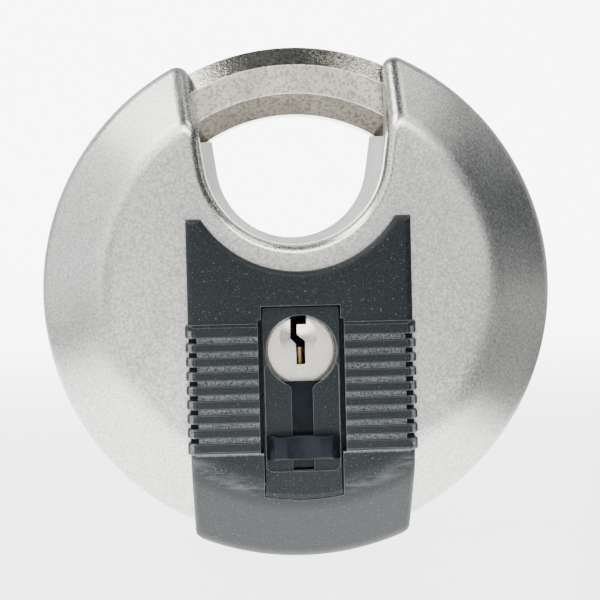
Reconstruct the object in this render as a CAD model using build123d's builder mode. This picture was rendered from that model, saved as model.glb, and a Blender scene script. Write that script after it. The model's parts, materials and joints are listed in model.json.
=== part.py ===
from build123d import *
import os
from math import cos, hypot, radians, sin, sqrt

# Disc padlock with a shrouded swinging shackle, a bumper jacket and a sliding key shutter.
# Millimetres. +Z is up, the front faces -Y. The origin is on the disc axis, on the flat
# rear face of the jacket. "Level" is the height of a plane in front of the mid-plane.

# Steel case
case_radius = 35.0
case_half = 13.5
rim_half = 4.7
shell_wall = 1.3
face_corner_radius = 5.0
rim_corner_radius = 3.0

# Opening for the hasp
opening_radius = 10.5
opening_x = -0.3
opening_z = 17.8
opening_flare = 8.0
opening_height = 24.0
horn_straight = 4.5
horn_bend = 12.0
horn_lean = 0.8
lip_offset = 1.5
lip_lift = 0.45
lip_radius = 1.9
lip_depth = 3.0

# Shackle: an octagonal bar on an arc round its own axis
shackle_z = 2.15
shackle_mean = 26.8
shackle_apothem = 4.65
shackle_nose = -38.5
shackle_tail = 151.0
shackle_swing = 74.0
channel_gap = 0.25

# Lock cylinder
plug_z = -7.8
plug_radius = 5.5
plug_face_level = 12.1
nose_radius = 4.6
running_gap = 0.04
housing_radius = 7.4
housing_front = 10.0
housing_back = -5.0
pin_levels = (7.7, 4.9, 2.1, -0.7, -3.5)
key_pin_tops = (0.64, -0.55, 0.25, -1.1, -0.2)
pin_radius = 1.05
chamber_radius = 1.1
tower_half = 2.9
tower_drop = 10.95

# Drive from plug to shackle
drive_angle = 37.0
drive_pin_radius = 1.5
arm_slot_half = 2.1
arm_reach = 20.4

# Jacket
jacket = 2.0
jacket_half = 14.77
jacket_top = 9.8
jacket_arc = 15.1
jacket_gap = 0.05
window_half = 5.2
window_top = -1.8
rib_count = 9
rib_pitch = 1.87
rib_first_z = -5.17
rib_height = 1.19
rib_proud = 0.45
rib_inner = 5.65
rib_outer = 15.15
rib_top = -4.05
rib_bottom = -21.05

# Shutter
panel_half = 5.1
panel_top = -1.9
panel_radius = 27.3
panel_face = 14.9
keyhole_radius = 4.75
slot_half = 1.4
slot_end = -23.45
shutter_top = -11.8
shutter_bottom = -23.45
base_half = 6.5
base_top = -1.3
base_bottom = -25.2

fit_gap = 0.05
part_gap = 0.1
mid_depth = case_half + jacket


# ------------------------------------------------------------------ planes and axes
def level(height, x=0.0, z=0.0, angle=0.0):
    """Plane facing the front; angle turns its x axis clockwise as seen from the front."""
    turn = radians(angle)
    return Plane(
        origin=(x, -(mid_depth + height), z),
        x_dir=(cos(turn), 0, -sin(turn)),
        z_dir=(0, -1, 0),
    )


def radial(z, angle):
    """Plane through the axis at height z: x runs outwards, y runs to the front."""
    turn = radians(angle)
    return Plane(
        origin=(0, -mid_depth, z),
        x_dir=(sin(turn), 0, cos(turn)),
        z_dir=(cos(turn), 0, -sin(turn)),
    )


disc_axis = Axis((0, -mid_depth, 0), (0, 1, 0))
shackle_axis = Axis((0, -mid_depth, shackle_z), (0, 1, 0))
mid_plane = level(0)


def in_front(point):
    """Height of a point in front of the mid-plane."""
    return -point.Y - mid_depth


# ------------------------------------------------------------------ shared shapes
def case_solid(inset):
    """Front half of the case as a solid of revolution, inset from its outer skin."""
    rim = case_radius - inset
    face = case_half - inset
    bevel_sum = case_radius + rim_half - inset * sqrt(2)
    with BuildPart() as blank:
        with BuildSketch(radial(0, 90)) as profile:
            with BuildLine():
                Polyline(
                    (0, 0),
                    (rim, 0),
                    (rim, bevel_sum - rim),
                    (bevel_sum - face, face),
                    (0, face),
                    close=True,
                )
            make_face()
            corners = profile.vertices().sort_by(Axis.X)
            fillet(corners[2], max(face_corner_radius - inset, 0.5))
            rim_corner = profile.vertices().group_by(Axis.X)[-1].sort_by(Axis.Y)[-1]
            fillet(rim_corner, max(rim_corner_radius - inset, 0.5))
        revolve(axis=disc_axis)
    return blank.part


def opening_face(height, grow, lift=0):
    """Outline of the hasp opening on a level, grown outwards by grow and set higher by lift."""
    with BuildSketch(level(height)) as face:
        with BuildLine():
            bow = CenterArc(
                (opening_x, opening_z + lift),
                opening_radius + grow,
                180 + opening_flare,
                180 - 2 * opening_flare,
            )
            left = Line(bow @ 0, bow @ 0 - opening_height * (bow % 0))
            lower = Line(bow @ 1, bow @ 1 + horn_straight * (bow % 1))
            bend = JernArc(lower @ 1, lower % 1, horn_bend + grow, opening_flare + horn_lean)
            right = Line(bend @ 1, bend @ 1 + opening_height * (bend % 1))
            Line(left @ 1, right @ 1)
        make_face()
    return face.sketch


def octagon_ring(grow, start, sweep):
    """Octagonal bar on the shackle's arc, clockwise from the top as seen from the front."""
    with BuildPart() as ring:
        with BuildSketch(radial(shackle_z, start)):
            with Locations((shackle_mean, 0)):
                RegularPolygon(
                    shackle_apothem + grow, 8, major_radius=False, rotation=22.5
                )
        revolve(axis=shackle_axis, revolution_arc=sweep)
    return ring.part


def slab(x_low, x_high, z_low, z_high, back, front):
    """Rectangular block between two levels."""
    with BuildPart() as block:
        with BuildSketch(level(back, (x_low + x_high) / 2, (z_low + z_high) / 2)):
            Rectangle(x_high - x_low, z_high - z_low)
        extrude(amount=front - back)
    return block.part


def disc(x, z, radius, back, front):
    """Round block between two levels."""
    with BuildPart() as block:
        with BuildSketch(level(back, x, z)):
            Circle(radius)
        extrude(amount=front - back)
    return block.part


def save(part, name):
    """Label the finished piece and write its STEP file."""
    part.label = name
    export_step(part, f"parts/{name}.step")


os.makedirs("parts", exist_ok=True)
case_outer = case_solid(0)
case_inner = case_solid(shell_wall)
case_deep = case_solid(lip_depth)
cast_blank = case_solid(shell_wall + part_gap)
cast_deep = case_solid(lip_depth + part_gap)
channel = octagon_ring(
    channel_gap, shackle_nose - 1.2, shackle_tail + shackle_swing - shackle_nose + 3.2
)

# Posts of the jacket pass through the shells and are headed over inside
post_radius = 1.2
post_head_radius = 1.9
post_places = ((-11.0, -1.5), (11.0, -1.5), (-9.0, -19.5), (9.0, -19.5))

# ------------------------------------------------------------------ steel shells
with BuildPart() as lipped_case:
    add(case_outer)
    extrude(opening_face(-1, lip_offset, lip_lift), amount=case_half + 2, mode=Mode.SUBTRACT)
    rolled = [
        edge
        for edge in lipped_case.edges(Select.LAST)
        if in_front(edge @ 0.5) > 0.01
        and (abs((edge % 0.5).Y) < 0.99 or hypot((edge @ 0.5).X, (edge @ 0.5).Z) > 34.5)
    ]
    fillet(rolled, lip_radius)

with BuildPart() as shell_cavity:
    add(case_inner)
    extrude(
        opening_face(-1, lip_offset + shell_wall, lip_lift),
        amount=case_half + 2,
        mode=Mode.SUBTRACT,
    )
    add(case_deep)

with BuildPart() as shell_half:
    add(lipped_case.part)
    add(shell_cavity.part, mode=Mode.SUBTRACT)
    add(channel, mode=Mode.SUBTRACT)
    with BuildSketch(level(case_half - 2)):
        with Locations(*post_places):
            Circle(post_radius + fit_gap)
    extrude(amount=3, mode=Mode.SUBTRACT)

window = slab(
    -base_half - part_gap,
    base_half + part_gap,
    base_bottom - part_gap,
    base_top + part_gap,
    case_half - 3,
    case_half + 1,
)

with BuildPart() as front_shell:
    add(shell_half.part)
    add(window, mode=Mode.SUBTRACT)
save(front_shell.part, "front_shell")

rear_shell = mirror(shell_half.part, about=mid_plane)
save(rear_shell, "rear_shell")

# ------------------------------------------------------------------ zinc castings
opening_depth = case_half + 1
wall_draft = 7.5
horn_clearance = 1.6
lip_ledge = cast_blank - cast_deep

with BuildPart() as lip_seat:
    extrude(
        opening_face(-1, lip_offset + shell_wall + part_gap, lip_lift), amount=case_half + 2
    )
    add(lip_ledge, mode=Mode.INTERSECT)

# The shackle runs against the case where the channel meets the rim
relief_half = 2.3
relief_radius = 31.5
relief_start = -39.7
relief_sweep = 102.0
with BuildPart() as rim_relief:
    with BuildSketch(radial(0, relief_start)):
        with Locations((relief_radius + 1.5, 0)):
            Rectangle(3.0, 2 * relief_half)
    revolve(axis=disc_axis, revolution_arc=relief_sweep)

# Screws that join the castings, put in from the rear
screw_places = ((-13.0, 3.0), (13.0, 3.0), (-16.0, -8.5), (16.0, -8.5))
screw_radius = 1.5
screw_head_radius = 2.8
screw_head_height = 1.6
screw_tip = 6.0
cast_face = case_half - shell_wall - part_gap

housing_dowel_radius = 1.0
housing_dowel_half = 10.0
dowel_z = plug_z + housing_radius - 0.8

with BuildPart() as cylinder_pocket:
    add(disc(0, plug_z, housing_radius + fit_gap, housing_back - fit_gap, plug_face_level - 0.55))
    add(
        slab(
            -tower_half - fit_gap,
            tower_half + fit_gap,
            plug_z - tower_drop - fit_gap,
            plug_z,
            housing_back - fit_gap,
            housing_front + fit_gap,
        )
    )
    with BuildSketch(Plane.YZ.offset(-housing_dowel_half - part_gap)):
        with Locations((-mid_depth, dowel_z)):
            Circle(housing_dowel_radius + 0.02)
    extrude(amount=2 * (housing_dowel_half + part_gap))

# Above the shackle's inner side the casting stands back behind the horns of the shell
with BuildPart() as horn_relief:
    extrude(opening_face(0, horn_clearance), amount=opening_depth)
    add(
        disc(0, shackle_z, shackle_mean - shackle_apothem - channel_gap, -1, case_half + 2),
        mode=Mode.SUBTRACT,
    )

with BuildPart() as cast_half:
    add(cast_blank)
    extrude(
        opening_face(-0.001, 0), amount=opening_depth, taper=-wall_draft, mode=Mode.SUBTRACT
    )
    add(lip_seat.part, mode=Mode.SUBTRACT)
    add(channel, mode=Mode.SUBTRACT)
    add(horn_relief.part, mode=Mode.SUBTRACT)
    add(rim_relief.part, mode=Mode.SUBTRACT)
    for x, z in post_places:
        add(
            disc(x, z, post_head_radius + part_gap, cast_face - 0.9, cast_face + 1),
            mode=Mode.SUBTRACT,
        )

backplate_half = 5.9
backplate_thickness = 0.5
backplate_top = -1.4
backplate_bottom = -25.0
backplate_front = cast_face

with BuildPart() as front_casting:
    add(cast_half.part)
    add(cylinder_pocket.part, mode=Mode.SUBTRACT)
    add(
        slab(
            -backplate_half - fit_gap,
            backplate_half + fit_gap,
            backplate_bottom - fit_gap,
            backplate_top + fit_gap,
            backplate_front - backplate_thickness - fit_gap,
            cast_face + 1,
        ),
        mode=Mode.SUBTRACT,
    )
    with BuildSketch(mid_plane):
        with Locations(*screw_places):
            Circle(screw_radius + 0.02)
    extrude(amount=screw_tip + 0.5, mode=Mode.SUBTRACT)
save(front_casting.part, "front_casting")

# Room for the drive arm and its screw behind the cylinder
arm_front = -5.7
arm_back = -7.9
arm_room = 0.15
arm_swing_half = 54.76
arm_angle_closed = -arm_swing_half
arm_hub_radius = 6.2
fork_half = 3.5
drive_pin_back = -7.9

cast_rear_half = mirror(cast_half.part, about=mid_plane)
with BuildPart() as rear_casting:
    add(cast_rear_half)
    add(cylinder_pocket.part, mode=Mode.SUBTRACT)
    with BuildSketch(level(arm_back - arm_room, 0, plug_z)):
        Circle(arm_hub_radius + 0.6)
        with BuildLine():
            reach = arm_reach + 0.4
            swept = CenterArc((0, 0), reach, 270 - arm_swing_half, 2 * arm_swing_half)
            Line((0, 0), swept @ 0)
            Line((0, 0), swept @ 1)
        make_face()
        with PolarLocations(
            reach / 2, 2, 270 - arm_swing_half, 2 * arm_swing_half, endpoint=True
        ):
            Rectangle(reach, 2 * fork_half + 0.8)
    extrude(amount=housing_back - arm_back + arm_room, mode=Mode.SUBTRACT)
    with BuildSketch(radial(shackle_z, 180 - drive_angle - 3.6)):
        with Locations((shackle_mean, (drive_pin_back - 4.9) / 2 - 0.1)):
            Rectangle(2 * (drive_pin_radius + 0.2), -4.9 - drive_pin_back + 0.4)
    revolve(
        axis=shackle_axis, revolution_arc=2 * drive_angle + 7.2, mode=Mode.SUBTRACT
    )
    add(disc(0, plug_z, 3.4, arm_back - 2.2, arm_back), mode=Mode.SUBTRACT)
    with BuildSketch(mid_plane):
        with Locations(*screw_places):
            Circle(screw_radius + fit_gap)
    extrude(amount=-case_half, mode=Mode.SUBTRACT)
    for x, z in screw_places:
        with BuildSketch(level(-cast_face, x, z)):
            Circle(screw_head_radius + fit_gap)
        with BuildSketch(level(-cast_face + screw_head_height, x, z)):
            Circle(screw_radius + fit_gap)
        loft(mode=Mode.SUBTRACT)
save(rear_casting.part, "rear_casting")

with BuildPart() as casting_screws:
    for x, z in screw_places:
        with BuildSketch(level(-cast_face, x, z)):
            Circle(screw_head_radius)
        with BuildSketch(level(-cast_face + screw_head_height, x, z)):
            Circle(screw_radius)
        loft()
        with BuildSketch(level(-cast_face + screw_head_height, x, z)):
            Circle(screw_radius)
        extrude(amount=screw_tip + cast_face - screw_head_height)
        with BuildSketch(level(-cast_face, x, z)):
            Rectangle(2 * screw_head_radius, 0.8)
            Rectangle(0.8, 2 * screw_head_radius)
        extrude(amount=0.7, mode=Mode.SUBTRACT)
save(casting_screws.part, "casting_screws")

# ------------------------------------------------------------------ shackle and its pin
drive_pin_front = 2.0
drive_place = radial(shackle_z, 180 - drive_angle).origin + Vector(
    shackle_mean * sin(radians(drive_angle)), 0, -shackle_mean * cos(radians(drive_angle))
)
shackle_bar = octagon_ring(0, shackle_nose, shackle_tail - shackle_nose)
with BuildPart() as shackle:
    add(shackle_bar)
    ends = shackle.faces().filter_by(GeomType.PLANE).filter_by(
        lambda face: abs(face.normal_at().Y) < 0.01
    )
    chamfer(ends.edges(), 0.9)
    with BuildSketch(level(-shackle_apothem - 1, drive_place.X, drive_place.Z)):
        Circle(drive_pin_radius)
    extrude(amount=shackle_apothem + 1 + drive_pin_front, mode=Mode.SUBTRACT)
save(shackle.part, "shackle")

with BuildPart() as shackle_drive_pin:
    with BuildSketch(level(drive_pin_back, drive_place.X, drive_place.Z)):
        Circle(drive_pin_radius)
    extrude(amount=drive_pin_front - drive_pin_back)
    chamfer(shackle_drive_pin.edges().filter_by(GeomType.CIRCLE), 0.25)
save(shackle_drive_pin.part, "shackle_drive_pin")

# ------------------------------------------------------------------ lock cylinder
tail_radius = 3.6
tail_flat = 2.6
plug_back = housing_back - 0.1
plate_back = housing_front + fit_gap
plate_front = plug_face_level - 0.6

with BuildPart() as anti_drill_plate:
    add(disc(0, plug_z, housing_radius, plate_back, plate_front))
    add(
        disc(0, plug_z, nose_radius + running_gap, plate_back - 1, plate_front + 1),
        mode=Mode.SUBTRACT,
    )
save(anti_drill_plate.part, "anti_drill_plate")

with BuildPart() as shutter_backplate:
    add(
        slab(
            -backplate_half,
            backplate_half,
            backplate_bottom,
            backplate_top,
            backplate_front - backplate_thickness,
            backplate_front,
        )
    )
    with BuildSketch(level(backplate_front - 1, 0, plug_z)):
        Circle(keyhole_radius + 0.1)
    extrude(amount=2, mode=Mode.SUBTRACT)
    fillet(shutter_backplate.edges().filter_by(Axis.Y).group_by(Axis.X)[0], 0.8)
    fillet(shutter_backplate.edges().filter_by(Axis.Y).group_by(Axis.X)[-1], 0.8)
save(shutter_backplate.part, "shutter_backplate")

with BuildPart() as plug_blank:
    add(disc(0, plug_z, plug_radius, plug_back, housing_front - fit_gap))
    add(disc(0, plug_z, nose_radius, housing_front - 1, plug_face_level))
    chamfer(plug_blank.edges().group_by(Axis.Y)[0], 0.25)
    with BuildSketch(level(arm_back, 0, plug_z, arm_angle_closed - 90)):
        Circle(tail_radius)
        Rectangle(3 * tail_radius, 2 * tail_flat, mode=Mode.INTERSECT)
    extrude(amount=plug_back - arm_back)

keyway_back = -3.9
dimple_radius = 2.5
dimple_depth = 0.75
arm_screw_radius = 1.5
with BuildPart() as cylinder_plug:
    add(plug_blank.part)
    with BuildSketch(level(plug_face_level, -0.26, plug_z + 1.78)):
        Circle(dimple_radius)
    extrude(amount=-dimple_depth, taper=70, mode=Mode.SUBTRACT)
    with BuildSketch(level(keyway_back, 0, plug_z)):
        with BuildLine():
            Polyline(
                (-1.28, 7.0),
                (0.84, 7.0),
                (0.84, 3.4),
                (-0.42, 3.4),
                (-0.42, 2.0),
                (0.62, 1.15),
                (0.62, -1.95),
                (-0.56, -1.95),
                (-0.56, 0.75),
                (-1.28, 1.55),
                close=True,
            )
        make_face()
    extrude(amount=plug_face_level - keyway_back + 1, mode=Mode.SUBTRACT)
    with BuildSketch(Plane.XY.offset(plug_z - plug_radius - 1)):
        with Locations(*[(0, -(mid_depth + at)) for at in pin_levels]):
            Circle(chamber_radius)
    extrude(amount=plug_radius + 1 + max(key_pin_tops), mode=Mode.SUBTRACT)
    add(disc(0, plug_z, arm_screw_radius, arm_back - 1, keyway_back - 0.8), mode=Mode.SUBTRACT)
save(cylinder_plug.part, "cylinder_plug")

key_pin_bottom = plug_z - plug_radius + 0.12
with BuildPart() as key_pins:
    for at, top in zip(pin_levels, key_pin_tops):
        with BuildSketch(Plane.XY.offset(key_pin_bottom)):
            with Locations((0, -(mid_depth + at))):
                Circle(pin_radius)
        extrude(amount=plug_z + top - key_pin_bottom)
    rings = key_pins.edges().filter_by(GeomType.CIRCLE)
    chamfer(rings.filter_by(lambda ring: ring.center().Z > plug_z - 3), 0.5)
    chamfer(rings.filter_by(lambda ring: ring.center().Z < plug_z - 3), 0.15)
save(key_pins.part, "key_pins")

driver_top = plug_z - plug_radius - running_gap - 0.02
driver_length = 2.6
with BuildPart() as driver_pins:
    with BuildSketch(Plane.XY.offset(driver_top - driver_length)):
        with Locations(*[(0, -(mid_depth + at)) for at in pin_levels]):
            Circle(pin_radius)
    extrude(amount=driver_length)
    chamfer(driver_pins.edges().filter_by(GeomType.CIRCLE), 0.12)
save(driver_pins.part, "driver_pins")

strip_half = 1.9
strip_thickness = 0.5
strip_top = plug_z - tower_drop + strip_thickness + 0.05
spring_wire = 0.16
spring_top = driver_top - driver_length - 0.04
spring_bottom = strip_top + 0.04
with BuildPart() as one_spring:
    coil_height = spring_top - spring_bottom - 2 * spring_wire
    with BuildLine() as coil:
        Helix(coil_height / 4, coil_height, pin_radius - 0.25)
    with BuildSketch(Plane(coil.line @ 0, z_dir=coil.line % 0)):
        Circle(spring_wire)
    sweep(path=coil.line, is_frenet=True)
with BuildPart() as pin_springs:
    with Locations(*[(0, -(mid_depth + at), spring_bottom + spring_wire) for at in pin_levels]):
        add(one_spring.part)
save(pin_springs.part, "pin_springs")

with BuildPart() as pin_chamber_strip:
    add(
        slab(
            -strip_half,
            strip_half,
            strip_top - strip_thickness,
            strip_top,
            housing_back + 0.4,
            housing_front - 0.4,
        )
    )
save(pin_chamber_strip.part, "pin_chamber_strip")

with BuildPart() as cylinder_housing:
    add(disc(0, plug_z, housing_radius, housing_back, housing_front))
    add(
        slab(
            -tower_half,
            tower_half,
            plug_z - tower_drop,
            plug_z,
            housing_back,
            housing_front,
        )
    )
    add(
        disc(0, plug_z, plug_radius + running_gap, housing_back - 1, housing_front + 1),
        mode=Mode.SUBTRACT,
    )
    with BuildSketch(Plane.XY.offset(plug_z - tower_drop - 1)):
        with Locations(*[(0, -(mid_depth + at)) for at in pin_levels]):
            Circle(chamber_radius)
    extrude(amount=tower_drop + 1 - plug_radius + 1, mode=Mode.SUBTRACT)
    add(
        slab(
            -strip_half - 0.02,
            strip_half + 0.02,
            plug_z - tower_drop - 1,
            strip_top + 0.02,
            housing_back + 0.38,
            housing_front - 0.38,
        ),
        mode=Mode.SUBTRACT,
    )
    with BuildSketch(Plane.YZ.offset(-housing_dowel_half)):
        with Locations((-mid_depth, dowel_z)):
            Circle(housing_dowel_radius + 0.02)
    extrude(amount=2 * housing_dowel_half, mode=Mode.SUBTRACT)
save(cylinder_housing.part, "cylinder_housing")

with BuildPart() as housing_pin:
    with BuildSketch(Plane.YZ.offset(-housing_dowel_half)):
        with Locations((-mid_depth, dowel_z)):
            Circle(housing_dowel_radius)
    extrude(amount=2 * housing_dowel_half)
    chamfer(housing_pin.edges().filter_by(GeomType.CIRCLE), 0.2)
save(housing_pin.part, "housing_pin")

# ------------------------------------------------------------------ drive arm
washer_radius = 6.0
washer_front = plug_back - 0.03
washer_back = arm_front + 0.03
with BuildPart() as plug_washer:
    add(disc(0, plug_z, washer_radius, washer_back, washer_front))
    add(
        disc(0, plug_z, tail_radius + fit_gap, washer_back - 1, washer_front + 1),
        mode=Mode.SUBTRACT,
    )
save(plug_washer.part, "plug_washer")

arm_slot_start = 14.6
with BuildPart() as drive_arm:
    with BuildSketch(level(arm_back + 0.02, 0, plug_z, arm_angle_closed)) as arm_outline:
        Circle(arm_hub_radius)
        with Locations((0, -arm_reach / 2)):
            Rectangle(2 * fork_half, arm_reach)
        fillet(arm_outline.vertices().group_by(Axis.Y)[0], 0.9)
        with Locations((0, -(arm_slot_start + arm_reach + 5) / 2)):
            Rectangle(2 * arm_slot_half, arm_reach + 5 - arm_slot_start, mode=Mode.SUBTRACT)
        with Locations((0, -arm_slot_start)):
            Circle(arm_slot_half, mode=Mode.SUBTRACT)
    extrude(amount=arm_front - arm_back - 0.02)
    with BuildSketch(level(arm_back - 1, 0, plug_z, arm_angle_closed - 90)):
        Circle(tail_radius + 0.02)
        Rectangle(4 * tail_radius, 2 * tail_flat + 0.04, mode=Mode.INTERSECT)
    extrude(amount=arm_front - arm_back + 2, mode=Mode.SUBTRACT)
save(drive_arm.part, "drive_arm")

arm_screw_head = 3.0
with BuildPart() as drive_arm_screw:
    add(disc(0, plug_z, arm_screw_head, arm_back - 1.8, arm_back))
    fillet(drive_arm_screw.edges().group_by(Axis.Y)[-1], 0.6)
    add(disc(0, plug_z, arm_screw_radius, arm_back - 0.5, keyway_back - 1.0))
    with BuildSketch(level(arm_back - 1.9, 0, plug_z)):
        RegularPolygon(1.2, 6)
    extrude(amount=1.1, mode=Mode.SUBTRACT)
save(drive_arm_screw.part, "drive_arm_screw")

# ------------------------------------------------------------------ jacket
jacket_room = case_solid(-jacket_gap)
jacket_skin = case_solid(-jacket) - jacket_room
jacket_round = 1.0
groove_height = rib_pitch - rib_height
rib_places = [rib_first_z - rib_pitch * row for row in range(rib_count)]
gap_places = [z - rib_pitch / 2 for z in rib_places[:-1]]


def jacket_outline(height):
    """Front view of the jacket: straight sides, arched top, cropped lower corners."""
    with BuildSketch(level(height)) as face:
        with BuildLine():
            shoulder = sqrt(jacket_arc**2 - (opening_z - jacket_top) ** 2)
            arch = ThreePointArc(
                (-shoulder, jacket_top), (0, opening_z - jacket_arc), (shoulder, jacket_top)
            )
            Polyline(
                arch @ 1,
                (jacket_half, jacket_top),
                (jacket_half, -33.2),
                (12.9, -35.2),
                (12.9, -40.0),
                (-12.9, -40.0),
                (-12.9, -35.2),
                (-jacket_half, -33.2),
                (-jacket_half, jacket_top),
                arch @ 0,
            )
        make_face()
    return face.sketch


def above_steel(point):
    """Height of a point over the steel case."""
    spread = hypot(point.X, point.Z)
    bevel = (spread + in_front(point) - case_radius - rim_half) / sqrt(2)
    return max(in_front(point) - case_half, bevel, spread - case_radius)


def on_outline(edge):
    """True for the outer edges that follow the jacket's front outline."""
    middle = edge @ 0.5
    if above_steel(middle) < 0.75 * jacket or in_front(middle) < 0.3:
        return False
    if abs((edge % 0.5).Y) > 0.99:
        return False
    return (
        abs(abs(middle.X) - jacket_half) < 0.01
        or abs(hypot(middle.X, middle.Z - opening_z) - jacket_arc) < 0.02
        or abs(middle.Z - jacket_top) < 0.01
        or (abs(middle.X) > 12.8 and middle.Z < -33 and abs((edge % 0.5).Y) < 0.95)
    )


def rib_bar(low, high, slope_low, slope_high):
    """One gripping rib of the right side, lapping over the side of the jacket."""
    crest = case_half + jacket + rib_proud
    foot = case_half + part_gap
    with BuildPart() as bar:
        with BuildSketch(Plane.XY.offset(low)):
            with BuildLine():
                Polyline(
                    *[
                        (x, -(mid_depth + height))
                        for x, height in (
                            (rib_inner, crest - 0.8),
                            (rib_inner, crest),
                            (rib_outer - 1.2, crest),
                            (rib_outer - 0.4, crest - 0.55),
                            (rib_outer, foot + 0.9),
                            (rib_outer, foot),
                            (rib_outer - 1.8, foot),
                            (rib_outer - 1.8, crest - 0.8),
                        )
                    ],
                    close=True,
                )
            make_face()
        extrude(amount=high - low)
        for z, slope in ((low, slope_low), (high, slope_high)):
            shown = bar.edges().filter_by(
                lambda edge: in_front(edge @ 0.5) > crest - 0.01
                and abs((edge % 0.5).X) > 0.9
                and abs((edge @ 0.5).Z - z) < 0.01
            )
            chamfer(shown, slope)
        tips = bar.edges().filter_by(
            lambda edge: (edge @ 0.5).X > rib_outer - 1.19
            and abs((edge % 0.5).Z) < 0.1
            and in_front(edge @ 0.5) > foot + 0.01
            and min(abs((edge @ 0.5).Z - low), abs((edge @ 0.5).Z - high)) < 0.01
        )
        chamfer(tips, 0.15)
    return bar.part


with BuildPart() as jacket_blank:
    extrude(jacket_outline(0), amount=case_half + jacket + 1)
    add(jacket_skin, mode=Mode.INTERSECT)
    fillet(jacket_blank.edges().filter_by(on_outline), jacket_round)
    parting = jacket_blank.edges().filter_by(
        lambda edge: in_front(edge @ 0.5) < 0.01 and above_steel(edge @ 0.5) > jacket - 0.05
    )
    chamfer(parting, 0.25)
    with BuildSketch(level(case_half - shell_wall - 0.02)):
        with Locations(*post_places):
            Circle(post_radius)
    extrude(amount=shell_wall + 0.2)
    with BuildSketch(level(cast_face - 0.8)):
        with Locations(*post_places):
            Circle(post_head_radius)
    extrude(amount=0.8 + part_gap - 0.02)

with BuildPart() as ribs:
    half = rib_height / 2
    plain_rib = rib_bar(-half, half, 0.12, 0.12)
    with Locations(*[(0, 0, z) for z in rib_places[1:-1]]):
        add(plain_rib)
    add(rib_bar(rib_places[0] - half, rib_top, 0.12, 0.38))
    add(rib_bar(rib_bottom, rib_places[-1] + half, 0.38, 0.12))
    mirror(about=Plane.YZ)

with BuildPart() as grooves:
    for side in (-1, 1):
        with BuildSketch(level(case_half + 0.45)):
            with Locations(*[(side * (rib_outer - 0.7), z) for z in gap_places]):
                Rectangle(1.6, groove_height - 0.03)
        extrude(amount=jacket + 1)

with BuildPart() as front_cover:
    add(jacket_blank.part)
    with BuildSketch(level(cast_face)):
        Circle(panel_radius + part_gap)
        with Locations((0, window_top)):
            Rectangle(
                2 * window_half, 60, align=(Align.CENTER, Align.MAX), mode=Mode.INTERSECT
            )
    extrude(amount=mid_depth, mode=Mode.SUBTRACT)
    add(
        slab(-rib_inner, rib_inner, rib_bottom, rib_top + 0.5, case_half, mid_depth + 1),
        mode=Mode.SUBTRACT,
    )
    add(grooves.part, mode=Mode.SUBTRACT)
    add(ribs.part)
save(front_cover.part, "front_cover")

with BuildPart() as rear_cover:
    add(jacket_blank.part)
    add(grooves.part, mode=Mode.SUBTRACT)
    with BuildSketch(level(case_half + jacket - rib_proud)):
        for side in (-1, 1):
            with Locations(*[(side * 11.2, z) for z in gap_places]):
                Rectangle(8.5, groove_height - 0.03)
    extrude(amount=1, mode=Mode.SUBTRACT)
    mirror(about=mid_plane, mode=Mode.REPLACE)
save(rear_cover.part, "rear_cover")

# ------------------------------------------------------------------ key shutter
cavity_half = 4.95
cavity_top = -2.6
cavity_bottom = -23.55
recess_depth = 0.25
recess_half = 4.86
recess_top = -9.2
recess_bottom = -23.6
under_cover = case_solid(-jacket + 0.1)
with BuildPart() as below_base:
    add(slab(-8, 8, -30, base_bottom, cast_face - 1, case_half + 1))
    add(jacket_room, mode=Mode.INTERSECT)

with BuildPart() as shutter_track:
    add(slab(-base_half, base_half, base_bottom, base_top, cast_face, case_half))
    add(case_outer, mode=Mode.INTERSECT)
    with BuildSketch(level(cast_face)) as panel:
        Circle(panel_radius)
        with Locations((0, panel_top)):
            Rectangle(2 * panel_half, 60, align=(Align.CENTER, Align.MAX), mode=Mode.INTERSECT)
        fillet(panel.vertices(), 0.4)
    extrude(amount=panel_face - cast_face)
    shown = shutter_track.edges().filter_by(
        lambda edge: in_front(edge @ 0.5) > panel_face - 0.01
    )
    chamfer(shown, 0.15)
    add(under_cover, mode=Mode.INTERSECT)
    add(below_base.part, mode=Mode.SUBTRACT)
    add(
        slab(-cavity_half, cavity_half, cavity_bottom, cavity_top, cast_face - 1, case_half),
        mode=Mode.SUBTRACT,
    )
    with BuildSketch(level(panel_face - recess_depth)) as recess:
        with Locations((0, recess_bottom)):
            Rectangle(
                2 * recess_half, recess_top - recess_bottom, align=(Align.CENTER, Align.MIN)
            )
        fillet(recess.vertices(), 0.9)
    extrude(amount=1, mode=Mode.SUBTRACT)
    with BuildSketch(level(case_half - 1)) as keyhole:
        with Locations((0, plug_z)):
            Circle(keyhole_radius)
        with Locations((0, plug_z)):
            Rectangle(2 * slot_half, plug_z - slot_end, align=(Align.CENTER, Align.MAX))
        necks = keyhole.vertices().filter_by(lambda corner: -14 < corner.Y < -11)
        fillet(necks, 0.8)
    extrude(amount=panel_face, mode=Mode.SUBTRACT)
save(shutter_track.part, "shutter_track")

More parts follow.
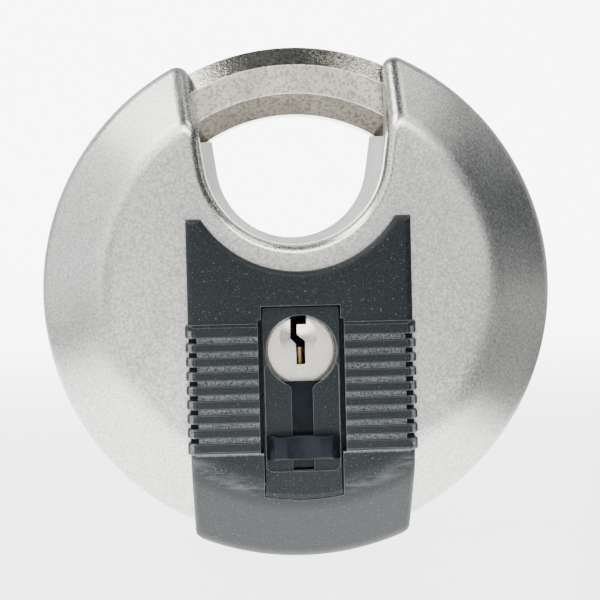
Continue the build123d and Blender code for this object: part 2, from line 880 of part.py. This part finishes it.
slide_half = 4.85
slide_back = 12.35
slide_front = 13.4
neck_half = 1.3
neck_top = -19.1
neck_bottom = -21.7
tab_half = 4.78
tab_back = 14.72
tab_crest = 15.9
tab_top = -18.8
scoop_radius = 16.0
scoop_depth = 0.15
tab_bottom = -22.0
with BuildPart() as shutter:
    add(slab(-slide_half, slide_half, shutter_bottom, shutter_top, slide_back, slide_front))
    chamfer(shutter.edges().filter_by(Axis.Y), 0.4)
    add(slab(-neck_half, neck_half, neck_bottom, neck_top, slide_front - 0.3, tab_back + 0.1))
    with BuildSketch(Plane.XY.offset(tab_bottom)):
        with BuildLine():
            Polyline(
                *[
                    (x, -(mid_depth + height))
                    for x, height in (
                        (tab_half, tab_back),
                        (tab_half, tab_back + 0.25),
                        (tab_half - 1.07, tab_crest),
                        (1.07 - tab_half, tab_crest),
                        (-tab_half, tab_back + 0.25),
                        (-tab_half, tab_back),
                    )
                ],
                close=True,
            )
        make_face()
    extrude(amount=tab_top - tab_bottom)
    crest = shutter.edges().filter_by(
        lambda edge: in_front(edge @ 0.5) > tab_crest - 0.01 and abs((edge % 0.5).X) > 0.9
    )
    chamfer(crest, 0.25)
    with BuildSketch(Plane.XY.offset(tab_bottom - 1)):
        with Locations((0, -(mid_depth + tab_crest - scoop_depth + scoop_radius))):
            Circle(scoop_radius)
    extrude(amount=6, mode=Mode.SUBTRACT)
save(shutter.part, "shutter")
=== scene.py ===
import json
from math import cos, pi, radians, sin

import bmesh
import bpy
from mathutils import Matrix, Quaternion, Vector


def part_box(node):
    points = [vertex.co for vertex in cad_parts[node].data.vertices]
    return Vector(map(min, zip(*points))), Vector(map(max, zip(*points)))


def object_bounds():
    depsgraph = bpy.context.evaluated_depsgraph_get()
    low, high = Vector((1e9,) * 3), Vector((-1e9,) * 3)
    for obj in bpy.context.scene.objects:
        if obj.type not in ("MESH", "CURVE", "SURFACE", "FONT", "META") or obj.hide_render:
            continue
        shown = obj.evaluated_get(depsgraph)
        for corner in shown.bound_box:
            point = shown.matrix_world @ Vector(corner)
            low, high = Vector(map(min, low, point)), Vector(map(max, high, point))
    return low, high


# Disc padlock. Metres, in the CAD frame: +Z up, the front faces -Y, and the origin is on
# the disc's axis, on the flat rear face.

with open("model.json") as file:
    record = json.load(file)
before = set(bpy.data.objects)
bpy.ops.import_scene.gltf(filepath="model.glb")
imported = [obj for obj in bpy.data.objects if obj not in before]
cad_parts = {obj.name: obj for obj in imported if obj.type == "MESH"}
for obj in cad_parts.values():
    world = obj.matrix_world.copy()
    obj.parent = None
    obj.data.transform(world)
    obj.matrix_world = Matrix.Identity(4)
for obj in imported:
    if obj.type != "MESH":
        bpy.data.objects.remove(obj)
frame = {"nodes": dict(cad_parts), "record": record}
cad_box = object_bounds()
nodes = frame["nodes"]
mm = 0.001


# ------------------------------------------------------------------ material nodes
def new_material(name, color, metallic, roughness):
    """A material with a Principled shader; returns it with its node tree and that shader."""
    material = bpy.data.materials.new(name)
    material.use_nodes = True
    tree = material.node_tree
    shader = tree.nodes["Principled BSDF"]
    shader.inputs["Base Color"].default_value = (*color, 1)
    shader.inputs["Metallic"].default_value = metallic
    shader.inputs["Roughness"].default_value = roughness
    return material, tree, shader


def node(tree, kind, **values):
    """Adds a node; values are its properties, or its inputs written as i_Name."""
    made = tree.nodes.new(kind)
    for key, value in values.items():
        if key.startswith("i_"):
            made.inputs[key[2:].replace("_", " ")].default_value = value
        else:
            setattr(made, key, value)
    return made


def place(tree, stretch=(1, 1, 1)):
    """Object coordinates, stretched."""
    coordinate = node(tree, "ShaderNodeTexCoord")
    mapping = node(tree, "ShaderNodeMapping")
    mapping.inputs["Scale"].default_value = stretch
    tree.links.new(coordinate.outputs["Object"], mapping.inputs["Vector"])
    return mapping.outputs["Vector"]


def noise(tree, vector, size, detail, rough):
    """Noise whose features are about size millimetres across."""
    made = node(
        tree,
        "ShaderNodeTexNoise",
        i_Scale=1 / (size * mm),
        i_Detail=detail,
        i_Roughness=rough,
    )
    tree.links.new(vector, made.inputs["Vector"])
    return made.outputs["Fac"]


def remap(tree, value, low, high, to_low, to_high):
    """Smooth step of value from low to high, given out as to_low to to_high."""
    made = node(tree, "ShaderNodeMapRange", interpolation_type="SMOOTHSTEP")
    for name, number in zip(
        ("From Min", "From Max", "To Min", "To Max"), (low, high, to_low, to_high)
    ):
        made.inputs[name].default_value = number
    tree.links.new(value, made.inputs["Value"])
    return made.outputs["Result"]


def mixed(tree, factor, first, second):
    """Colour mix by a factor socket; first and second are colours or sockets."""
    made = node(tree, "ShaderNodeMix", data_type="RGBA", blend_type="MIX")
    for socket, value in ((made.inputs[6], first), (made.inputs[7], second)):
        if isinstance(value, bpy.types.NodeSocket):
            tree.links.new(value, socket)
        else:
            socket.default_value = (*value, 1)
    tree.links.new(factor, made.inputs[0])
    return made.outputs[2]


def math(tree, operation, first, second=0.0):
    """A Math node; first and second are numbers or sockets."""
    made = node(tree, "ShaderNodeMath", operation=operation)
    for socket, value in zip(made.inputs, (first, second)):
        if isinstance(value, bpy.types.NodeSocket):
            tree.links.new(value, socket)
        else:
            socket.default_value = value
    return made.outputs[0]


def bump(tree, height, depth, below=None):
    """Bump of depth millimetres; below is an earlier bump's normal."""
    made = node(tree, "ShaderNodeBump", i_Distance=depth * mm)
    tree.links.new(height, made.inputs["Height"])
    if below is not None:
        tree.links.new(below, made.inputs["Normal"])
    return made.outputs["Normal"]


def broken_edges(tree, radius):
    """Normal with slightly rounded edges, and a mask that is about 1 on those edges."""
    rounded = node(tree, "ShaderNodeBevel", samples=6, i_Radius=radius * mm)
    true = node(tree, "ShaderNodeNewGeometry")
    dot = node(tree, "ShaderNodeVectorMath", operation="DOT_PRODUCT")
    tree.links.new(rounded.outputs["Normal"], dot.inputs[0])
    tree.links.new(true.outputs["Normal"], dot.inputs[1])
    return rounded.outputs["Normal"], remap(tree, dot.outputs["Value"], 0.99, 0.9, 0.0, 1.0)


def axis_band(tree, axis, start, full, end=None, gone=None):
    """1 between full and end along one object axis, in millimetres, 0 outside start and gone."""
    split = node(tree, "ShaderNodeSeparateXYZ")
    tree.links.new(place(tree), split.inputs[0])
    band = remap(tree, split.outputs[axis], start * mm, full * mm, 0, 1)
    if end is None:
        return band
    return math(
        tree, "MULTIPLY", band, remap(tree, split.outputs[axis], end * mm, gone * mm, 1, 0)
    )


def finish_material(tree, shader, color=None, roughness=None, normal=None):
    if color is not None:
        tree.links.new(color, shader.inputs["Base Color"])
    if roughness is not None:
        tree.links.new(roughness, shader.inputs["Roughness"])
    if normal is not None:
        tree.links.new(normal, shader.inputs["Normal"])


def radial_band(tree, start, full):
    """0 nearer the disc's axis than start and 1 beyond full, in millimetres."""
    reach = node(tree, "ShaderNodeVectorMath", operation="LENGTH")
    tree.links.new(place(tree, (1, 0, 1)), reach.inputs[0])
    return remap(tree, reach.outputs["Value"], start * mm, full * mm, 0, 1)


def lip_reach(tree):
    """Distance from the middle line of the hasp opening, which is round below and open above."""
    split = node(tree, "ShaderNodeSeparateXYZ")
    tree.links.new(place(tree), split.inputs[0])
    below = math(tree, "MINIMUM", math(tree, "SUBTRACT", split.outputs["Z"], 17.8 * mm), 0.0)
    joined = node(tree, "ShaderNodeCombineXYZ")
    tree.links.new(math(tree, "ADD", split.outputs["X"], 0.3 * mm), joined.inputs[0])
    tree.links.new(below, joined.inputs[2])
    reach = node(tree, "ShaderNodeVectorMath", operation="LENGTH")
    tree.links.new(joined.outputs[0], reach.inputs[0])
    return reach.outputs["Value"]


# ------------------------------------------------------------------ materials
def sheet_steel():
    """Pressed stainless sheet: satin, with a fine blasted grain and a few handling marks."""
    material, tree, shader = new_material("shell_steel", (0.6, 0.597, 0.56), 1.0, 0.36)
    vector = place(tree)
    cloud = noise(tree, vector, 9.0, 3, 0.5)
    grain = noise(tree, vector, 0.28, 2, 0.6)
    fleck = noise(tree, vector, 0.4, 3, 0.7)
    round_normal, rubbed = broken_edges(tree, 0.3)
    tone = mixed(
        tree, remap(tree, cloud, 0.35, 0.65, 0, 1), (0.585, 0.58, 0.548), (0.65, 0.645, 0.608)
    )
    tone = mixed(tree, remap(tree, fleck, 0.42, 0.62, 0, 0.7), tone, (0.4, 0.395, 0.37))
    tone = mixed(tree, remap(tree, grain, 0.46, 0.64, 0, 0.85), tone, (0.84, 0.83, 0.8))
    tone = mixed(tree, rubbed, tone, (0.78, 0.78, 0.75))
    rough = math(
        tree,
        "ADD",
        remap(tree, cloud, 0.3, 0.7, 0.32, 0.38),
        remap(tree, grain, 0.3, 0.7, -0.04, 0.04),
    )
    rough = math(tree, "MULTIPLY", rough, remap(tree, lip_reach(tree), 14.2 * mm, 15 * mm, 0.75, 1))
    normal = bump(tree, grain, 0.01, round_normal)
    finish_material(tree, shader, tone, rough, normal)
    return material


def die_cast():
    """Zinc die casting: grey, matt, with a cast skin."""
    material, tree, shader = new_material("zinc_casting", (0.34, 0.335, 0.32), 0.25, 0.5)
    vector = place(tree)
    cloud = noise(tree, vector, 5.0, 4, 0.6)
    skin = noise(tree, vector, 0.35, 4, 0.65)
    tone = mixed(
        tree, remap(tree, cloud, 0.3, 0.7, 0, 1), (0.28, 0.275, 0.262), (0.38, 0.375, 0.358)
    )
    rough = remap(tree, skin, 0.3, 0.7, 0.42, 0.56)
    normal = bump(tree, skin, 0.05)
    finish_material(tree, shader, tone, rough, normal)
    return material


def plated_bar():
    """Forged shackle bar under a warm plated finish, with a cast grain and bright edges."""
    material, tree, shader = new_material("shackle_steel", (0.68, 0.64, 0.55), 1.0, 0.2)
    vector = place(tree)
    cloud = noise(tree, vector, 4.0, 3, 0.5)
    grain = noise(tree, vector, 0.4, 4, 0.65)
    pits = noise(tree, vector, 0.5, 3, 0.6)
    round_normal, rubbed = broken_edges(tree, 0.22)
    tone = mixed(tree, remap(tree, cloud, 0.3, 0.7, 0, 1), (0.66, 0.62, 0.51), (0.84, 0.8, 0.69))
    tone = mixed(tree, remap(tree, pits, 0.47, 0.62, 0, 0.75), tone, (0.33, 0.305, 0.25))
    # Edges are lightened: partly rubbed plating, partly a painted highlight along the chamfer
    # edges.
    tone = mixed(tree, rubbed, tone, (0.92, 0.9, 0.85))
    rough = remap(tree, grain, 0.35, 0.65, 0.13, 0.24)
    normal = bump(tree, grain, 0.045, round_normal)
    finish_material(tree, shader, tone, rough, normal)
    return material


def black_plastic(name, worn_jacket):
    """Black moulded plastic, spark eroded; the jacket has dusty grooves and a scuffed bend."""
    material, tree, shader = new_material(name, (0.01, 0.013, 0.0145), 0.0, 0.45)
    vector = place(tree)
    cloud = noise(tree, vector, 7.0, 3, 0.5)
    texture = noise(tree, vector, 0.22, 3, 0.7)
    speck = noise(tree, vector, 0.26, 1, 0.4)
    round_normal, worn = broken_edges(tree, 0.14)
    tone = mixed(
        tree, remap(tree, cloud, 0.3, 0.7, 0, 1), (0.005, 0.0085, 0.01), (0.008, 0.0115, 0.013)
    )
    tone = mixed(tree, remap(tree, texture, 0.46, 0.62, 0, 0.8), tone, (0.02, 0.025, 0.027))
    if worn_jacket:
        grooves = math(
            tree,
            "MULTIPLY",
            axis_band(tree, "Y", -31.3, -31.1, -30.9, -30.7),
            axis_band(tree, "Z", -21.4, -21.1, -4.9, -4.6),
        )
        powder = noise(tree, vector, 0.13, 2, 0.6)
        dust = math(tree, "MULTIPLY", grooves, remap(tree, powder, 0.38, 0.6, 0.1, 1))
        tone = mixed(tree, dust, tone, (0.2, 0.21, 0.213))
        smear = noise(tree, place(tree, (0.35, 1, 1.6)), 1.4, 5, 0.7)
        below = axis_band(tree, "Z", -20.8, -21.8)
        bend = math(tree, "SUBTRACT", radial_band(tree, 24.5, 26.6), radial_band(tree, 27.2, 28.6))
        scuff = math(tree, "MULTIPLY", bend, remap(tree, smear, 0.38, 0.72, 0.05, 0.7))
        tone = mixed(tree, math(tree, "MULTIPLY", scuff, below), tone, (0.1, 0.105, 0.104))
        foot = math(tree, "MULTIPLY", radial_band(tree, 26.8, 28.2), below)
        tone = mixed(tree, foot, tone, (0.02, 0.023, 0.024))
    tone = mixed(tree, remap(tree, speck, 0.66, 0.78, 0, 0.6), tone, (0.12, 0.13, 0.13))
    # Edges are lightened: partly worn plastic, partly a painted highlight along the rib and panel
    # edges.
    tone = mixed(tree, math(tree, "MULTIPLY", worn, 0.7), tone, (0.2, 0.21, 0.215))
    rough = remap(tree, texture, 0.3, 0.7, 0.34, 0.52)
    normal = bump(tree, texture, 0.04, round_normal)
    finish_material(tree, shader, tone, rough, normal)
    shader.inputs["Specular IOR Level"].default_value = 0.2
    return material


def shutter_plastic():
    """Smooth dark plastic, a little blue, with rubbed edges."""
    material, tree, shader = new_material("shutter_plastic", (0.004, 0.006, 0.009), 0.0, 0.2)
    vector = place(tree)
    cloud = noise(tree, vector, 2.5, 3, 0.5)
    swirl = noise(tree, place(tree, (0.5, 1, 1)), 0.5, 3, 0.5)
    round_normal, worn = broken_edges(tree, 0.12)
    tone = mixed(
        tree, remap(tree, cloud, 0.3, 0.7, 0, 1), (0.003, 0.005, 0.008), (0.007, 0.01, 0.015)
    )
    tone = mixed(tree, math(tree, "MULTIPLY", worn, 0.4), tone, (0.08, 0.09, 0.1))
    rough = remap(tree, swirl, 0.3, 0.7, 0.12, 0.2)
    normal = bump(tree, swirl, 0.003, round_normal)
    finish_material(tree, shader, tone, rough, normal)
    shader.inputs["Specular IOR Level"].default_value = 0.16
    return material


def plug_nickel():
    """Nickel plated brass plug, warm and softly polished, with painted shade down in the keyway."""
    material, tree, shader = new_material("plug_nickel", (0.76, 0.71, 0.61), 1.0, 0.3)
    vector = place(tree)
    cloud = noise(tree, vector, 2.0, 3, 0.5)
    grain = noise(tree, vector, 0.2, 3, 0.6)
    round_normal, rubbed = broken_edges(tree, 0.12)
    tone = mixed(tree, remap(tree, cloud, 0.3, 0.7, 0, 1), (0.84, 0.79, 0.68), (0.92, 0.88, 0.78))
    tone = mixed(tree, rubbed, tone, (0.88, 0.85, 0.78))
    # Painted shade: the plug darkens with depth behind its face, standing in for shadow in the
    # keyway.
    tone = mixed(tree, axis_band(tree, "Y", -26.8, -25.6), tone, (0.03, 0.026, 0.02))
    rough = remap(tree, grain, 0.3, 0.7, 0.24, 0.36)
    normal = bump(tree, grain, 0.012, round_normal)
    finish_material(tree, shader, tone, rough, normal)
    return material


def turned_metal(name, dark, light, roughness):
    """Turned or sawn metal with fine tool marks and slight tarnish."""
    material, tree, shader = new_material(name, light, 1.0, roughness)
    cloud = noise(tree, place(tree), 1.8, 4, 0.6)
    marks = noise(tree, place(tree, (0.3, 2.5, 0.3)), 0.25, 3, 0.6)
    round_normal, rubbed = broken_edges(tree, 0.12)
    tone = mixed(tree, remap(tree, cloud, 0.3, 0.7, 0, 1), dark, light)
    bright = tuple(min(1, 1.3 * part) for part in light)
    tone = mixed(tree, math(tree, "MULTIPLY", rubbed, 0.5), tone, bright)
    rough = remap(tree, marks, 0.3, 0.7, roughness - 0.08, roughness + 0.08)
    normal = bump(tree, marks, 0.012, round_normal)
    finish_material(tree, shader, tone, rough, normal)
    return material


finishes = {
    "shell_steel": sheet_steel(),
    "zinc_casting": die_cast(),
    "shackle_steel": plated_bar(),
    "jacket_plastic": black_plastic("jacket_plastic", True),
    "shutter_plastic": shutter_plastic(),
    "plug_nickel": plug_nickel(),
    "brass": turned_metal("brass", (0.46, 0.3, 0.1), (0.7, 0.5, 0.2), 0.3),
    "dark_steel": turned_metal("dark_steel", (0.16, 0.16, 0.17), (0.28, 0.28, 0.29), 0.38),
    "zinc_plated_steel": turned_metal(
        "zinc_plated_steel", (0.5, 0.51, 0.55), (0.68, 0.69, 0.72), 0.32
    ),
}
panel_finish = black_plastic("panel_plastic", False)
for part in frame["record"]["subparts"]:
    for holder in nodes[part["node"]].material_slots:
        holder.material = finishes[part["material_slot"]]
for holder in nodes["shutter_track"].material_slots:
    holder.material = panel_finish

# ------------------------------------------------------------------ stage
floor_gap = 0.02 * mm
mid_y = (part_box("front_shell")[0].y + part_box("rear_shell")[1].y) / 2
floor_z = cad_box[0][2] - floor_gap
studio, tree, shader = new_material("studio_paper", (0.14, 0.14, 0.14), 0.0, 0.9)
vector = place(tree)
paper = noise(tree, vector, 1.2, 4, 0.6)
finish_material(
    tree,
    shader,
    mixed(tree, remap(tree, paper, 0.3, 0.7, 0, 1), (0.133, 0.133, 0.133), (0.147, 0.147, 0.147)),
    remap(tree, paper, 0.3, 0.7, 0.85, 0.95),
)
# The paper glows in a soft wedge that widens away from the front, and faintly elsewhere.
split = node(tree, "ShaderNodeSeparateXYZ")
tree.links.new(vector, split.inputs[0])
away = math(tree, "ADD", split.outputs["Y"], 0.24)
spread = math(tree, "DIVIDE", math(tree, "ADD", split.outputs["X"], 0.018), away)
in_view = math(
    tree, "MULTIPLY", remap(tree, spread, 0.25, 0.38, 1, 0), remap(tree, spread, -0.6, -0.25, 0, 1)
)
in_view = math(tree, "MULTIPLY", in_view, remap(tree, split.outputs["Y"], -0.3, -0.06, 0, 1))
in_view = math(tree, "MULTIPLY", in_view, remap(tree, split.outputs["Z"], 0.22, 0.5, 1, 0))
glow = math(tree, "MULTIPLY", in_view, remap(tree, split.outputs["Y"], 0.05, 0.6, 4.0, 8.0))
reach = node(tree, "ShaderNodeVectorMath", operation="LENGTH")
tree.links.new(vector, reach.inputs[0])
far = remap(tree, reach.outputs["Value"], 0.08, 0.6, 0.12, 0.65)
tree.links.new(math(tree, "MAXIMUM", glow, far), shader.inputs["Emission Strength"])
shader.inputs["Emission Color"].default_value = (1, 1, 1, 1)


def make_stage():
    """Lit paper sweep: a flat floor that curves up behind the object."""
    mesh = bpy.data.meshes.new("sweep")
    form = bmesh.new()
    bend, back, wide, front, tall = 0.35, 0.75, 1.6, -2.4, 1.5
    path = [(front, 0.0)]
    path += [
        (back - bend + bend * sin(a), bend - bend * cos(a))
        for a in (radians(5 * i) for i in range(19))
    ]
    path += [(back, tall)]
    rows = []
    for y, z in path:
        rows.append([form.verts.new((x, y, floor_z + z)) for x in (-wide, wide)])
    for first, second in zip(rows, rows[1:]):
        form.faces.new((first[0], first[1], second[1], second[0])).smooth = True
    form.to_mesh(mesh)
    form.free()
    sweep = bpy.data.objects.new("sweep", mesh)
    sweep.data.materials.append(studio)
    bpy.context.scene.collection.objects.link(sweep)


make_stage()


def soft_box(name, toward, distance, width, height, radiance):
    """Area light in the direction toward the disc's centre, with its brightness as seen."""
    centre = Vector((0, mid_y, 0))
    lamp = bpy.data.lights.new(name, "AREA")
    lamp.shape = "RECTANGLE"
    lamp.size = width
    lamp.size_y = height
    lamp.energy = radiance * pi * width * height
    holder = bpy.data.objects.new(name, lamp)
    holder.location = centre + Vector(toward).normalized() * distance
    holder.rotation_euler = (centre - holder.location).to_track_quat("-Z", "Y").to_euler()
    holder.visible_camera = False
    bpy.context.scene.collection.objects.link(holder)


soft_box("front_panel", (0.05, -1, 0.2), 1.0, 1.4, 1.0, 1.4)
soft_box("front_left_box", (-0.8, -0.6, 0.12), 0.8, 0.22, 0.8, 2.2)
soft_box("top_front_box", (0, -0.57, 0.82), 0.9, 1.4, 0.2, 11.0)
soft_box("left_card", (-1, -0.1, 0.2), 0.7, 0.7, 0.8, 1.4)
soft_box("upper_left_box", (-0.59, -0.05, 0.81), 0.9, 0.36, 0.4, 10.0)
soft_box("upper_right_box", (0.47, -0.05, 0.88), 0.9, 0.14, 0.4, 7.0)

# The sky is dim overhead and to the right, and paler low down to the sides and back.
world = bpy.data.worlds.new("studio")
world.use_nodes = True
tree = world.node_tree
sky = tree.nodes["Background"]
sky.inputs["Color"].default_value = (0.78, 0.9, 1.0, 1)
compass = node(tree, "ShaderNodeTexCoord")
split = node(tree, "ShaderNodeSeparateXYZ")
tree.links.new(compass.outputs["Generated"], split.inputs[0])
walls = remap(tree, split.outputs["Z"], 0.1, 0.4, 0.34, 0)
walls = math(tree, "MULTIPLY", walls, remap(tree, split.outputs["X"], 0.5, 0.85, 1, 0))
walls = math(tree, "MULTIPLY", walls, remap(tree, split.outputs["Y"], -0.7, -0.1, 0, 1))
tree.links.new(math(tree, "ADD", walls, 0.11), sky.inputs["Strength"])
bpy.context.scene.world = world

# ------------------------------------------------------------------ camera
camera_data = bpy.data.cameras.new("camera")
camera_data.lens = 88.4
camera_data.sensor_width = 36
camera_data.clip_start = 0.01
camera = bpy.data.objects.new("camera", camera_data)
bpy.context.scene.collection.objects.link(camera)
camera.location = (-0.0067, mid_y - 0.2076, 0.0056)
yaw = radians(1.99)
pitch = radians(-1.98)
roll = radians(1.35)
forward = Vector((sin(yaw) * cos(pitch), cos(yaw) * cos(pitch), sin(pitch)))
turn = Quaternion(forward, roll) @ forward.to_track_quat("-Z", "Y")
camera.rotation_euler = turn.to_euler()
bpy.context.scene.camera = camera
